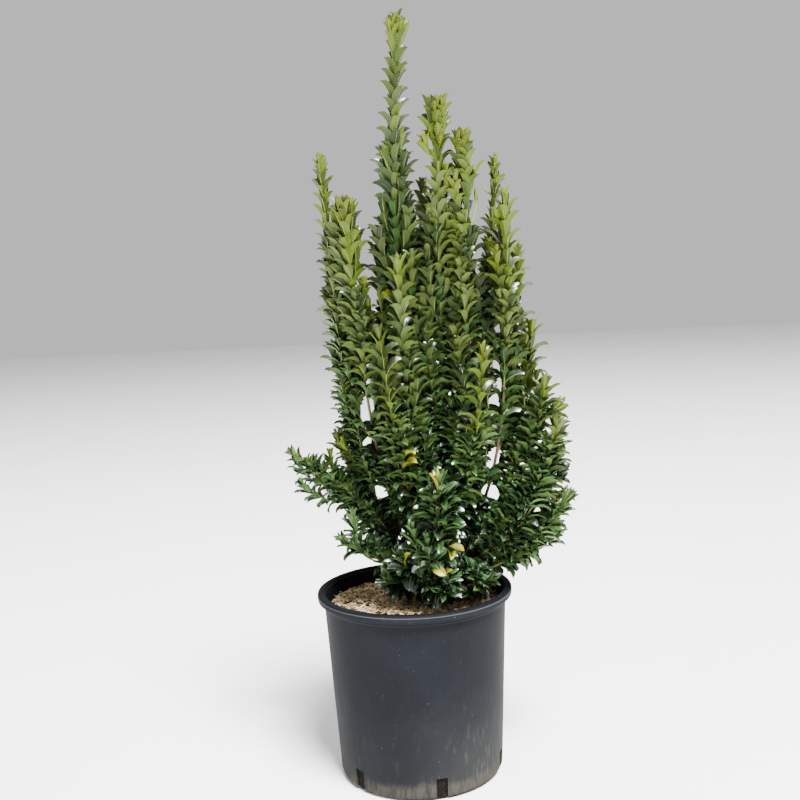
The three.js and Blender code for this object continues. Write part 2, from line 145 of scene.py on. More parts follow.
def bezier(controls, count):
    """Points on a Bezier curve."""
    t = np.linspace(0, 1, count)[:, None]
    points = np.array(controls, float)[:, None]
    while len(points) > 1:
        points = (1 - t) * points[:-1] + t * points[1:]
    return points[0]


def unit(v):
    v = np.asarray(v, float)
    return v / np.maximum(np.linalg.norm(v, axis=-1, keepdims=True), 1e-9)


class Limb:
    """A curve with leaves: a stem, a side shoot, a twig, a tuft or the trunk. bare is its leafless start."""

    def __init__(self, shoot, kind, controls, bare=0.0):
        self.shoot = shoot
        self.kind = kind
        self.points = bezier(controls, 120)
        steps = np.linalg.norm(np.diff(self.points, axis=0), axis=1)
        self.run = np.concatenate([[0], np.cumsum(steps)])
        self.length = self.run[-1]
        self.bare = bare

    def at(self, distance):
        """Points at distances along the limb."""
        return np.stack([np.interp(distance, self.run, self.points[:, i]) for i in range(3)], axis=-1)

    def along(self, distance):
        """Directions at distances along the limb."""
        distance = np.asarray(distance, float)
        ahead = self.at(np.minimum(distance + 3, self.length))
        behind = self.at(np.maximum(distance - 3, 0))
        return unit(ahead - behind)

    def radii(self, distance):
        """Radii at distances along a stem, side shoot, twig or tuft."""
        ends = STEM_RADII if self.kind in ("stem", "side") else TWIG_RADII
        return between(ends, distance / self.length)

    def has_bough(self):
        return self.kind == "stem" and self.bare == BOUGH["length"]


def sides_of(directions):
    """For each direction a direction across it, each turned as little as possible from the one before."""
    side = np.array((1.0, 0.0, 0.0))
    out = []
    for along in directions:
        side = unit(side - along * side.dot(along))
        out.append(side)
    return np.array(out)


def turned(side, along, turn):
    """A direction across a limb, turned about the limb."""
    return side * math.cos(turn) + np.cross(along, side) * math.sin(turn)


def limb_end(tip):
    """Where a limb ends so that its leaves reach the tip."""
    return np.array(tip, float) - (0, 0, TIP_REACH)


trunk_controls = [
    (*TRUNK["foot"], SOIL["top"]),
    (*TRUNK["foot"], SOIL["top"] + TRUNK["height"] * 0.4),
    (*TRUNK["head"], SOIL["top"] + TRUNK["height"]),
]
trunk_limb = Limb(None, "trunk", trunk_controls)


def shoot_controls(shoot):
    """The curve of a shoot from the trunk's axis, out to its elbow and up to its tip."""
    out, rise = shoot.elbow
    tip = limb_end(shoot.tip)
    leader = shoot.exit_height is None
    height = TRUNK["height"] if leader else shoot.exit_height
    start = trunk_limb.at(trunk_limb.length * height / TRUNK["height"])
    elbow = between((start, tip), out)
    elbow[2] = SOIL["top"] + rise
    first = between((start, elbow), 0.5)
    if leader:
        first = between((start, elbow), (0, 0, 0.5))
    return [start, first, elbow, tip]


def side_controls(stem, share, tip):
    """A side shoot leaves its stem at a share of its length and turns up to its own tip."""
    tip = limb_end(tip)
    start = stem.at(stem.bare + (stem.length - stem.bare) * share)
    return [start, between((start, tip), (1, 1, 0.35)), tip]


def outward_turn(limb, distance):
    """The turn about a limb that faces away from the crown's middle."""
    place, along = limb.at(distance), limb.along(distance)
    side = sides_of([along])[0]
    outward = (place - CROWN_MIDDLE) * (1, 1, 0)
    return math.atan2(outward.dot(np.cross(along, side)), outward.dot(side))


def twig_controls(stem, distance, turn, length, spread):
    """A twig leaves its limb outwards and bends to rise beside it."""
    start = stem.at(distance)
    along = stem.along(distance)
    out = turned(sides_of([along])[0], along, turn)
    up = unit(along + np.array([0, 0, 0.5]))
    bend = start + out * spread * 0.8 + up * length * 0.3
    tip = start + out * spread + up * length
    return [start, bend, tip]


# Growth
# Openings where the sky shows through the crown from the front: x and z at the crown's middle, and half the
# width and height
OPENINGS = [
    (-47, 473, 6, 9), (-51, 461, 5, 6), (-52, 430, 2, 6), (-39, 365, 5, 5), (-36, 359, 3, 3),
    (-35, 612, 3, 8), (-45, 664, 2, 6), (100, 360, 7, 5), (108, 353, 7, 5), (111, 401, 4, 9),
    (103, 392, 6, 3), (119, 492, 2, 6), (112, 475, 5, 5), (116, 518, 3, 5), (120, 562, 3, 5),
    (120, 437, 2, 3), (159, 329, 4, 2), (152, 470, 2, 3), (100, 662, 2, 4), (97, 706, 4, 9),
    (107, 738, 4, 20), (99, 776, 2, 6), (122, 688, 1, 5), (-27, 721, 4, 9), (156, 601, 4, 10),
    (108, 256, 7, 2), (-64, 271, 16, 6), (178, 272, 12, 6),
]


def seen_from_front(points):
    """x and z where the camera's lines through points cross the upright plane at y = 0."""
    distance, height = CAMERA["distance"] / METRES, CAMERA["height"] / METRES
    share = distance / (distance + points[..., 1])
    return points[..., 0] * share, height + (points[..., 2] - height) * share


def sky_clear(points):
    """True where a point is outside every opening. The edge of an opening has three lobes."""
    x, z = seen_from_front(points)
    clear = np.ones(x.shape, bool)
    for middle_x, middle_z, half_width, half_height in OPENINGS:
        across, up = (x - middle_x) / half_width, (z - middle_z) / half_height
        lobes = np.cos(3 * np.arctan2(up, across) + middle_x + middle_z)
        clear &= np.hypot(across, up) > 1 + 0.3 * lobes
    return clear


def pot_clear(points):
    """True where a point is clear of the mulch and the pot's wall and rim."""
    reach, height = np.hypot(points[..., 0], points[..., 1]), points[..., 2]
    inside = (reach < CLEAR["inside"]) & (height > SOIL["top"] + CLEAR["over_mulch"])
    over = (reach < CLEAR["rim_reach"]) & (height > POT["height"] + CLEAR["over_rim"])
    return inside | over | (height > CLEAR["height"])


def grow_stems():
    """The stem of each shoot and its side shoots."""
    limbs = []
    for name, shoot in SHOOTS.items():
        bare = BOUGH["length"] if shoot.bough else TRUNK_RADII[0] + 2
        if shoot.exit_height is None:
            bare = 0.0
        stem = Limb(name, "stem", shoot_controls(shoot), bare)
        limbs.append(stem)
        limbs += [Limb(name, "side", side_controls(stem, share, tip), SIDE_BARE) for share, tip in shoot.side]
    return limbs


def skeleton(limbs):
    """Points along the limbs and the shoot that each belongs to."""
    points = [limb.at(np.arange(limb.bare, limb.length, 8.0)) for limb in limbs]
    owners = [limb.shoot for limb, found in zip(limbs, points) for _ in found]
    return np.concatenate(points), np.array(owners)


def in_own_space(points, owner, bones, owners):
    """True if no point is nearer another shoot's bones than its own, apart from an overlap."""
    gaps = np.linalg.norm(points[:, None, :] - bones, axis=2)
    own = gaps[:, owners == owner].min(axis=1)
    other = gaps[:, owners != owner].min(axis=1)
    return bool(np.all(other > own - FINE["overlap"]))


# Fine twigs. They are shortest at the clear tip and longest this far below it, and closer under a height.
# Each is turned on from the one before, and by least_turn or more from straight out of the crown.
FINE = {
    "every": 10.0, "every_foot": 6.0, "dense_under": 400.0, "dense": 0.72, "turn": 2.4, "least_turn": 0.9,
    "lengths": (24.0, 74.0), "longest_at": 230.0, "spread": 26.0, "overlap": 6.0,
}
# The clear tips of shoots that end under this height, on a bough and at the foot of the trunk
LOW_SHOOT = {"under": 520.0, "clear_tip": 42.0, "foot_clear_tip": 14.0}

# Twigs beside the tips of shoots: how far under the shoot's tip each leaves, and its own tip's x, y and z
TUFTS = {
    "spire_centre": [(38, 4, -4, 950), (36, 14, -3, 948)],
    "spire_mid": [
        (46, 45, -12, 852), (46, 60, -15, 853), (70, 54, -27, 816), (62, 41, -19, 808), (110, 61, -12, 772),
        (170, 62, -10, 722),
    ],
    "spire_mid_right": [
        (60, 79, -8, 811), (70, 88, -12, 808), (66, 97, -10, 778), (105, 98, -10, 740), (130, 73, -16, 764),
        (190, 70, -14, 712),
    ],
    "spire_left": [(46, -93, 4, 796), (380, -88, -4, 452), (370, -80, -10, 444)],
    "spire_left_front": [
        (60, -57, -20, 735), (40, -70, -20, 736), (95, -52, -14, 700), (150, -46, -18, 638),
        (175, -42, -16, 616),
    ],
    "spire_right": [(70, 124, -12, 712), (120, 120, -22, 668)],
    "spire_right_back": [(50, 127, 36, 790), (34, 110, 36, 766), (100, 121, 30, 722), (140, 116, 26, 684)],
    "flank_right_top": [(36, 185, -30, 482)],
    "spire_right_outer": [(60, 152, -6, 560), (75, 164, 0, 512), (110, 150, -2, 520), (130, 166, -8, 492)],
    "flank_right": [(30, 188, 6, 470), (60, 190, -8, 396), (70, 186, 4, 352), (80, 197, 0, 366)],
    "low_right": [(60, 182, -8, 318), (80, 158, -20, 312)],
    "low_left": [(60, -138, -22, 428), (90, -132, -28, 398)],
    "low_left_front": [(60, -68, -40, 322), (60, -54, -40, 306), (60, -73, -34, 352)],
    "low_front": [
        (150, 2, -80, 342), (160, -14, -70, 312), (140, 18, -92, 330), (165, -4, -60, 308),
        (170, -8, -46, 298),
    ],
}


def twig_turn(turn, outward):
    """The turn of a twig about its limb, kept off the way straight out of the crown."""
    away = (turn + math.pi) % (2 * math.pi) - math.pi
    least = FINE["least_turn"]
    return outward + math.copysign(least + abs(away) * (math.pi - least) / math.pi, away)


def tuft(limb, under, tip):
    """A twig that leaves a stem some way under its tip and ends at a point of its own."""
    start, end = limb.at(limb.length - under), limb_end(tip)
    return Limb(limb.shoot, "tuft", [start, between((start, end), (0.9, 0.9, 0.3)), end], TWIG_BARE)


def grow_twigs(stems):
    """Fine twigs along every stem and side shoot, short near its tip and longer below. Then the tufts."""
    rng = np.random.default_rng(SEED)
    bones, owners = skeleton(stems)
    grown = []
    for limb in stems:
        shoot = SHOOTS[limb.shoot]
        clear_tip = min(shoot.clear_tip, limb.length * 0.4)
        if shoot.tip[2] < LOW_SHOOT["under"]:
            clear_tip = LOW_SHOOT["clear_tip"] if shoot.bough else LOW_SHOOT["foot_clear_tip"]
        every = FINE["every"] if shoot.bough else FINE["every_foot"]
        distance = limb.bare + 5 + rng.uniform(0, 6)
        turn = 0.0
        while distance < limb.length - clear_tip:
            from_tip = limb.length - distance
            share = min(1.0, (from_tip - clear_tip) / FINE["longest_at"])
            length = min(between(FINE["lengths"], share**0.8), from_tip * 0.6) * rng.uniform(0.75, 1.15)
            spread = min(FINE["spread"] * (0.24 + 0.76 * share), length * 0.7) * rng.uniform(0.8, 1.15)
            spread *= shoot.slim
            turn += FINE["turn"]
            outward = outward_turn(limb, distance)
            for extra in (0.0, 1.5, 3.0, 4.5):
                controls = twig_controls(limb, distance, twig_turn(turn + extra, outward), length, spread)
                twig = Limb(limb.shoot, "twig", controls, TWIG_BARE)
                outer = twig.at(np.linspace(0.5, 1, 4) * twig.length)
                whole = twig.at(np.linspace(0.1, 1, 14) * twig.length)
                clear = pot_clear(outer).all() and sky_clear(whole).all()
                if clear and in_own_space(outer, limb.shoot, bones, owners):
                    grown.append(twig)
                    break
            dense = FINE["dense"] if limb.at(distance)[2] < FINE["dense_under"] else 1.0
            distance += every * dense * rng.uniform(0.8, 1.2)
        if limb.kind == "stem":
            grown += [tuft(limb, under, tip) for under, *tip in TUFTS.get(limb.shoot, [])]
    return grown


# Leaves
LEAF = {"length": 30.0, "width": 13.8, "thickness": 0.4, "rib": 0.45}
# The spacing of young and old leaves
SPACING = (8.4, 7.6)
# How far from the tip the spacing is an old one, leaves no longer crowd, and they stand open
OLD_AT = 220.0
CROWDED_TO = 22.0
OPEN_AT = 34.0
# The size and spacing of leaves on each kind of limb
LIMB_SCALE = {"stem": 1.0, "side": 0.95, "tuft": 0.92, "twig": 0.92}
# A leaf's steps from base to end, those with a ring of points, and each ring's share of the width
LEAF_STEPS = 20
LEAF_STATIONS = [3, 7, 12, 16, 18]
LEAF_HALVES = [0.44, 0.8, 1.0, 0.84, 0.52]
# The part of the leaf on each side of a ring: 0 upper blade, 1 lower blade, 2 rib
LEAF_PARTS = [0, 2, 0, 1, 2, 1]
AGES = ["tip", "young", "grown", "old"]
# The measure, close to the distance from the tip, where each age gives way to the next
AGE_LIMITS = [30.0, 105.0, 230.0]
FADED_AGE = len(AGES)
TONES = 3
# The tones that the tip and young leaves of a dark limb take
DARK_TONE = 1
PALE_TONES = [2, 0]
# Shoots over this height have pale tips, and leaves look older under the others
PALE_OVER = 500.0
DIM_UNDER = {"twig": 700.0, "low_shoot": 470.0, "any": 480.0}
# Leaves spread fully this far from the tip, or this deep under a height
SPREAD = {"from_tip": 420.0, "depth": 400.0, "under": 760.0}
# What is known of a leaf. first and last are its angles to the limb, and late tells how far out it bends.
LEAF_FIELDS = [
    *[(name, float, 3) for name in ("place", "along", "out")],
    *[(name, float) for name in ("length", "width", "first", "last", "fold", "roll", "late")],
    *[("age", int), ("tone", int), ("shoot", "U20")],
]


def leaf_distances(limb, rng):
    """Where the pairs of leaves grow along a limb. They crowd together at its tip."""
    distances = []
    distance = limb.length - 1.0
    while distance > limb.bare + 2:
        distances.append(distance)
        from_tip = limb.length - distance
        spacing = between(SPACING, min(1.0, from_tip / OLD_AT))
        spacing *= between((0.3, 1.0), min(1.0, from_tip / CROWDED_TO))
        distance -= spacing * LIMB_SCALE[limb.kind] * rng.uniform(0.92, 1.08)
    return np.array(distances[::-1])


def leaf_age(limb, from_tip, height, rng):
    """0 at a pale tip to 3 in the shade below. Only the tall shoots have pale tips."""
    shoot = SHOOTS[limb.shoot]
    tall = shoot.tip[2]
    measure = from_tip + shoot.shade
    if limb.kind == "twig":
        measure = from_tip * 1.6 + 90 + max(0.0, DIM_UNDER["twig"] - height) * 0.4
    elif tall < PALE_OVER:
        measure = from_tip * 1.5 + 42 + max(0.0, DIM_UNDER["low_shoot"] - tall) * 0.8 + shoot.shade
    measure += max(0.0, DIM_UNDER["any"] - height) * 0.35
    return int(np.searchsorted(AGE_LIMITS, measure * rng.uniform(0.8, 1.25)))


def grow_leaves(limbs):
    """The leaves in pairs along each limb, each pair turned a quarter from the one before."""
    rng = np.random.default_rng(SEED + 1)
    grown = []
    for limb in limbs:
        distances = leaf_distances(limb, rng)
        if len(distances) == 0:
            continue
        scale = SHOOTS[limb.shoot].slim * LIMB_SCALE[limb.kind]
        directions = limb.along(distances)
        turn = rng.uniform(0, math.pi)
        twist = rng.choice([-1, 1]) * rng.uniform(0.02, 0.07)
        limb_tone = int(rng.integers(0, TONES))
        pairs = zip(limb.at(distances), directions, sides_of(directions), distances)
        for place, along, side, distance in pairs:
            from_tip = limb.length - distance
            deep = max(0.0, SPREAD["under"] - place[2]) / SPREAD["depth"]
            spread = min(1.0, 0.04 + from_tip / SPREAD["from_tip"] + deep)
            opened = min(1.0, from_tip / OPEN_AT)
            if limb.kind == "twig":
                opened = 0.55 + 0.45 * opened
            upright = opened * (1 - spread)
            size = scale * min(1.0, 0.62 + from_tip / 30.0) * (1.0 + 0.24 * upright)
            width = size * (1.0 - 0.1 * upright) * (0.58 + 0.42 * opened)
            turn += math.pi / 2 + twist + rng.normal(0, 0.03)
            age = leaf_age(limb, from_tip, place[2], rng)
            for half in (0.0, math.pi):
                out = turned(side, along, turn + half + rng.normal(0, 0.09))
                first = math.radians(6 + opened * (5 + 18 * spread) + rng.normal(0, 3.5))
                bend = math.radians(8 + opened * (34 + 40 * spread) + rng.normal(0, 8))
                tone = limb_tone if rng.random() < 0.7 else int(rng.integers(0, TONES))
                if limb.kind != "twig" and limb_tone == DARK_TONE and age < len(PALE_TONES):
                    tone = PALE_TONES[age]
                leaf_length = LEAF["length"] * size * rng.uniform(0.9, 1.08)
                leaf_width = LEAF["width"] * width * rng.uniform(0.9, 1.1)
                fold = math.radians(42 - 7 * spread + rng.normal(0, 5))
                roll, late = rng.normal(0, 0.16), 1.45 + 1.3 * upright
                angles = (first, first + bend, fold, roll, late)
                base = place + out * limb.radii(distance) * 0.6
                grown.append((base, along, out, leaf_length, leaf_width, *angles, age, tone, limb.shoot))
    return np.array(grown, LEAF_FIELDS)


def leaf_mesh(leaves):
    """Vertices of each leaf: a tapering, folded blade with rings of six points, and its two ends."""
    along, out = leaves["along"], leaves["out"]
    first, last, fold, roll = (leaves[name][:, None] for name in ("first", "last", "fold", "roll"))
    steps = (np.arange(LEAF_STEPS) + 0.5) / LEAF_STEPS
    angles = first + (last - first) * steps ** leaves["late"][:, None]
    strides = leaves["length"][:, None] / LEAF_STEPS * np.array([np.cos(angles), np.sin(angles)])
    ahead, aside = np.pad(np.cumsum(strides, axis=2), ((0, 0), (0, 0), (1, 0)))[..., None]
    rib = leaves["place"][:, None] + ahead * along[:, None] + aside * out[:, None]
    across = np.cross(along, out)
    rings = []
    for station, half in zip(LEAF_STATIONS, LEAF_HALVES):
        angle = angles[:, station : station + 1]
        upper = along * np.sin(angle) - out * np.cos(angle)
        sideways = across * np.cos(roll) + upper * np.sin(roll)
        upward = upper * np.cos(roll) - across * np.sin(roll)
        reach = leaves["width"][:, None] / 2 * half
        rise = upward * reach * np.sin(fold)
        edge = sideways * reach * np.cos(fold)
        ribs = sideways * LEAF["rib"] * (1.15 - station / LEAF_STEPS)
        under = upward * LEAF["thickness"]
        offsets = [rise - edge, -ribs, ribs, rise + edge, ribs - under, -ribs - under]
        rings.append(rib[:, station, None] + np.stack(offsets, axis=1))
    return np.concatenate([rib[:, :1], *rings, rib[:, -1:]], axis=1)


# Meshes
def ring_quads(rings, sides):
    """Quads between rings of points that follow one another."""
    here = np.arange(sides)
    after = (here + 1) % sides
    low = np.arange(rings - 1)[:, None] * sides
    high = low + sides
    return np.stack([low + here, low + after, high + after, high + here], axis=-1).reshape(-1, 4)


def fan(centre, ring, sides, upward):
    """Triangles from a centre point to the ring that starts at a point, seen from above or from below."""
    here = np.arange(sides)
    after = (here + 1) % sides
    first, second = (here, after) if upward else (after, here)
    return np.stack([np.full(sides, centre), ring + first, ring + second], axis=1)


def leaf_faces():
    """Quads and triangles of one leaf, and the part that each belongs to."""
    sides, rings = len(LEAF_PARTS), len(LEAF_STATIONS)
    end = 1 + sides * rings
    triangles = np.concatenate([fan(0, 1, sides, False), fan(end, end - sides, sides, True)])
    return 1 + ring_quads(rings, sides), triangles, np.tile(LEAF_PARTS, rings - 1), np.tile(LEAF_PARTS, 2)


def place_object(data):
    """An object in the scene for a mesh, a camera or a light."""
    made = bpy.data.objects.new(data.name, data)
    bpy.context.scene.collection.objects.link(made)
    return made


def mesh_piece(name, vertices, quads, triangles, materials, slots=0, smooth_angle=None):
    """An object from arrays in millimetres: quads and then triangles, with a material slot for each face."""
    mesh = bpy.data.meshes.new(name)
    vertices = np.asarray(vertices, np.float32).reshape(-1, 3) * METRES
    faces = [*np.reshape(quads, (-1, 4)).tolist(), *np.reshape(triangles, (-1, 3)).tolist()]
    mesh.from_pydata(vertices, [], faces)
    for material in materials:
        mesh.materials.append(material)
    mesh.polygons.foreach_set("material_index", np.zeros(len(faces), np.int32) + slots)
    mesh.validate()
    if smooth_angle is not None:
        mesh.set_sharp_from_angle(angle=math.radians(smooth_angle))
    else:
        mesh.shade_flat()
    return place_object(mesh)


# Materials
def srgb(text):
    """A colour written as six hexadecimal digits, as linear numbers."""
    numbers = [int(text[i : i + 2], 16) / 255 for i in (0, 2, 4)]
    return (*[n / 12.92 if n <= 0.04045 else ((n + 0.055) / 1.055) ** 2.4 for n in numbers], 1.0)


class Look:
    """A material. surface fills its shader's inputs, and the methods after it give a new node's output."""

    def __init__(self, name):
        self.material = bpy.data.materials.new(name)
        self.material.use_nodes = True
        self.nodes = self.material.node_tree.nodes

    def fill(self, node, inputs):
        """Fill a node's inputs with other nodes' outputs, colours of six digits, or numbers."""
        for name, value in inputs.items():
            if isinstance(value, bpy.types.NodeSocket):
                self.material.node_tree.links.new(value, node.inputs[name])
            else:
                node.inputs[name].default_value = srgb(value) if isinstance(value, str) else value

    def surface(self, inputs):
        self.fill(self.nodes["Principled BSDF"], inputs)

    def add(self, kind, output, inputs, **settings):
        node = self.nodes.new(kind)
        for name, value in settings.items():
            setattr(node, name, value)
        self.fill(node, inputs)
        return node.outputs[output]

    def place(self, scale=(1, 1, 1)):
        """Object coordinates stretched by a scale along each axis."""
        place = self.add("ShaderNodeTexCoord", "Object", {})
        return self.add("ShaderNodeMapping", "Vector", {"Vector": place, "Scale": scale})

    def noise(self, place, scale, detail=3.0, roughness=0.55):
        inputs = {"Vector": place, "Scale": scale, "Detail": detail, "Roughness": roughness}
        return self.add("ShaderNodeTexNoise", "Fac", inputs)

    def ramp(self, value, stops):
        """A colour ramp over stops of (place, colour as six digits)."""
        output = self.add("ShaderNodeValToRGB", "Color", {"Fac": value})
        elements = output.node.color_ramp.elements
        while len(elements) < len(stops):
            elements.new(0.5)
        for element, (place, colour) in zip(elements, stops):
            element.position = place
            element.color = srgb(colour)
        return output

    def mix(self, factor, first, second):
        return self.add("ShaderNodeMix", 2, {"Factor": factor, 6: first, 7: second}, data_type="RGBA")

    def combine(self, operation, first, second, clamp=False):
        settings = {"operation": operation, "use_clamp": clamp}
        return self.add("ShaderNodeMath", "Value", {0: first, 1: second}, **settings)

    def plus(self, first, second, clamp=False):
        return self.combine("ADD", first, second, clamp)

    def times(self, first, second):
        return self.combine("MULTIPLY", first, second)

    def step(self, value, low, high):
        """A smooth change from 0 at the low value to 1 at the high one."""
        inputs = {"Value": value, "From Min": low, "From Max": high}
        return self.add("ShaderNodeMapRange", "Result", inputs, interpolation_type="SMOOTHSTEP")

    def bump(self, height, strength, distance):
        inputs = {"Height": height, "Strength": strength, "Distance": distance}
        return self.add("ShaderNodeBump", "Normal", inputs)

    def uneven(self, scale, strength):
        waves = self.noise(self.place(), scale, 2.0)
        self.surface({"Normal": self.bump(waves, strength, 0.0008)})


def plain(name, colour, roughness, specular=0.5, coat=0.0):
    look = Look(name)
    look.surface({"Base Color": colour, "Roughness": roughness, "Specular IOR Level": specular})
    look.surface({"Coat Weight": coat, "Coat Roughness": COAT_ROUGHNESS})
    return look


# For each age three tones of the upper side, three of the under side, and the rib
# Upper sides are darker, as on real leaves; on tip and young leaves more so, as painted shade in the gaps
LEAF_COLOURS = {
    "tip": (("212a02", "182001", "2d3603"), ("354304", "262f02", "4e5a07"), "76821e"),
    "young": (("192605", "101a02", "243207"), ("36470c", "253206", "4d5e13"), "84923a"),
    "grown": (("192b10", "0f1c08", "263b17"), ("3d4c21", "2b3916", "526129"), "7c8b50"),
    "old": (("172c15", "0e1e0d", "243b1c"), ("344e23", "263a1b", "475f2d"), "5b7044"),
}
# Each age's roughness and coat
LEAF_SHINE = {"tip": (0.45, 0.0), "young": (0.38, 0.1), "grown": (0.32, 0.4), "old": (0.27, 0.5)}
COAT_ROUGHNESS = 0.14
FADED_COLOURS = ["8c8a10", "7f7816", "6e5822"]


def leaf_materials():
    """The materials in order, and for each age, tone and part its place in that order."""
    made = []
    places = np.zeros((FADED_AGE + 1, TONES, 3), int)
    for a, age in enumerate(AGES):
        uppers, lowers, rib = LEAF_COLOURS[age]
        roughness, coat = LEAF_SHINE[age]
        made.append(plain(f"leaf_{age}_rib", rib, 0.5).material)
        places[a, :, 2] = len(made) - 1
        for tone in range(TONES):
            upper = plain(f"leaf_{age}_upper_{tone}", uppers[tone], roughness, coat=coat)
            upper.uneven(260.0, 0.5)
            lower = plain(f"leaf_{age}_lower_{tone}", lowers[tone], 0.55, 0.25)
            lower.uneven(320.0, 0.25)
            made += [upper.material, lower.material]
            places[a, tone, :2] = len(made) - 2, len(made) - 1
    for tone, colour in enumerate(FADED_COLOURS):
        made.append(plain(f"leaf_faded_{tone}", colour, 0.5).material)
        places[FADED_AGE, tone, :] = len(made) - 1
    return made, places


# Faded leaves: x and z seen from the front, how many are within reach, and a share of the old ones
FADED = [(2, 403, 2), (29, 381, 3), (55, 283, 3), (41, 259, 2), (-6, 268, 1), (13, 411, 2)]
FADED_REACH = 9.0
FADED_SHARE = 0.003


def fade_leaves(leaves, vertices):
    """The foremost leaves at the places of FADED turn yellow, and a few old ones anywhere."""
    rng = np.random.default_rng(SEED + 4)
    middle = vertices.mean(axis=1)
    x, z = seen_from_front(middle)
    for place_x, place_z, count in FADED:
        near = np.flatnonzero(np.hypot(x - place_x, z - place_z) < FADED_REACH)
        front = near[np.argsort(middle[near, 1])][:count]
        leaves["age"][front] = FADED_AGE
        leaves["tone"][front] = np.arange(len(front)) % 2
    old = np.flatnonzero((leaves["age"] == AGES.index("old")) & (rng.random(len(leaves)) < FADED_SHARE))
    leaves["age"][old] = FADED_AGE


def build_leaves(limbs):
    """The leaves of each group of shoots, without those that reach an opening or the pot."""
    looks, look_places = leaf_materials()
    quads, triangles, quad_parts, triangle_parts = leaf_faces()
    leaves = grow_leaves(limbs)
    vertices = leaf_mesh(leaves)
    kept = (pot_clear(vertices) & sky_clear(vertices)).all(axis=1)
    leaves, vertices = leaves[kept], vertices[kept]
    fade_leaves(leaves, vertices)
    for group, shoots in GROUPS.items():
        chosen = np.isin(leaves["shoot"], shoots)
        age, tone = leaves["age"][chosen][:, None], leaves["tone"][chosen][:, None]
        offsets = (np.arange(len(age)) * vertices.shape[1])[:, None, None]
        slots = [look_places[age, tone, parts].ravel() for parts in (quad_parts, triangle_parts)]
        faces = (quads + offsets, triangles + offsets)
        piece = mesh_piece(f"leaves_{group}", vertices[chosen], *faces, looks, np.concatenate(slots), 62)
        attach(piece, "root")
        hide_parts(*[f"foliage_{name}" for name in shoots])


# Camera
def aim_camera():
    """The camera stands in front of the plant, turned by yaw, pitch and roll."""
    data = bpy.data.cameras.new("camera")
    data.lens = CAMERA["lens"]
    data.sensor_width = 36
    camera = place_object(data)
    yaw, pitch, roll = (math.radians(CAMERA[k]) for k in ("yaw", "pitch", "roll"))
    level = Matrix.Rotation(-yaw, 4, "Z") @ Matrix.Rotation(math.pi / 2 + pitch, 4, "X")
    place = Matrix.Translation((0, -CAMERA["distance"], CAMERA["height"]))
    camera.matrix_world = place @ level @ Matrix.Rotation(roll, 4, "Z")
    bpy.context.scene.camera = camera


# Twigs
def tube(points, radii, sides):
    """Vertices and quads of a tube, and the triangles of its closed ends, from a radius for each ring or for
    each point of it."""
    directions = unit(np.gradient(points, axis=0))
    across = sides_of(directions)
    other = np.cross(directions, across)
    turns = np.arange(sides)[:, None] * 2 * math.pi / sides
    ring = across[:, None] * np.cos(turns) + other[:, None] * np.sin(turns)
    vertices = (points[:, None] + ring * radii.reshape(len(points), -1, 1)).reshape(-1, 3)
    top = (len(points) - 1) * sides
    ends = [[0, j + 1, j] for j in range(1, sides - 1)]
    ends += [[top, top + j, top + j + 1] for j in range(1, sides - 1)]
    return vertices, ring_quads(len(points), sides), np.array(ends)


def join_tubes(tubes):
    vertices, quads, ends = zip(*tubes)
    starts = np.cumsum([0, *map(len, vertices)])
    quads, ends = ([faces + start for faces, start in zip(kind, starts)] for kind in (quads, ends))
    return np.concatenate(vertices), np.concatenate(quads), np.concatenate(ends)


# Twigs and stems turn olive and then brown at these distances from the tip, and none is green under a height
TWIG_COLOURS = {"green": ("66783a", 0.5), "olive": ("5c5c34", 0.6), "brown": ("4c3d2c", 0.8)}
TWIG_AGES = [120.0, 260.0]
GREEN_ABOVE = 330.0
TWIG_SIDES = 6
TWIG_STEP = 7.0


def build_twigs(limbs):
    """The stems and twigs of each group of shoots. A stem with a bough starts at the bough's tip."""
    looks = [plain(f"twig_{name}", *colour).material for name, colour in TWIG_COLOURS.items()]
    for group, shoots in GROUPS.items():
        tubes, quad_slots, end_slots = [], [], []
        for limb in limbs:
            if limb.shoot not in shoots:
                continue
            start = limb.bare if limb.has_bough() else 0.0
            count = max(3, int((limb.length - start) / TWIG_STEP))
            distances = np.linspace(start, limb.length, count)
            points = limb.at(distances)
            tubes.append(tube(points, limb.radii(distances), TWIG_SIDES))
            slot = np.searchsorted(TWIG_AGES, limb.length - distances[:-1], side="right")
            slot = np.where(points[:-1, 2] < GREEN_ABOVE, np.maximum(slot, 1), slot)
            quad_slots.append(np.repeat(slot, TWIG_SIDES))
            end_slots.append(np.repeat(slot[-1], len(tubes[-1][2])))
        slots = np.concatenate(quad_slots + end_slots)
        piece = mesh_piece(f"twigs_{group}", *join_tubes(tubes), looks, slots, 62)
        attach(piece, "root")


# Pot
BOX_CORNERS = np.array([[x, y, z] for z in (-1, 1) for y in (-1, 1) for x in (-1, 1)], float) / 2
BOX_FACES = np.array([[0, 2, 3, 1], [4, 5, 7, 6], [0, 1, 5, 4], [2, 6, 7, 3], [0, 4, 6, 2], [1, 3, 7, 5]])


def lathe(profile, segments):
    """Vertices and quads of a closed turned shape, and the triangles of its ends, from points of radius and
    height whose ends are on the axis."""
    turns = np.arange(segments) * 2 * math.pi / segments
    radius, height = np.array(profile[1:-1]).T[:, :, None]
    rings = np.stack([radius * np.cos(turns), radius * np.sin(turns), height + 0 * turns], axis=-1)
    vertices = np.concatenate([rings.reshape(-1, 3), [[0, 0, profile[0][1]], [0, 0, profile[-1][1]]]])
    end = len(vertices) - 2
    caps = [fan(end, 0, segments, False), fan(end + 1, end - segments, segments, True)]
    return vertices, ring_quads(len(radius), segments), np.concatenate(caps)


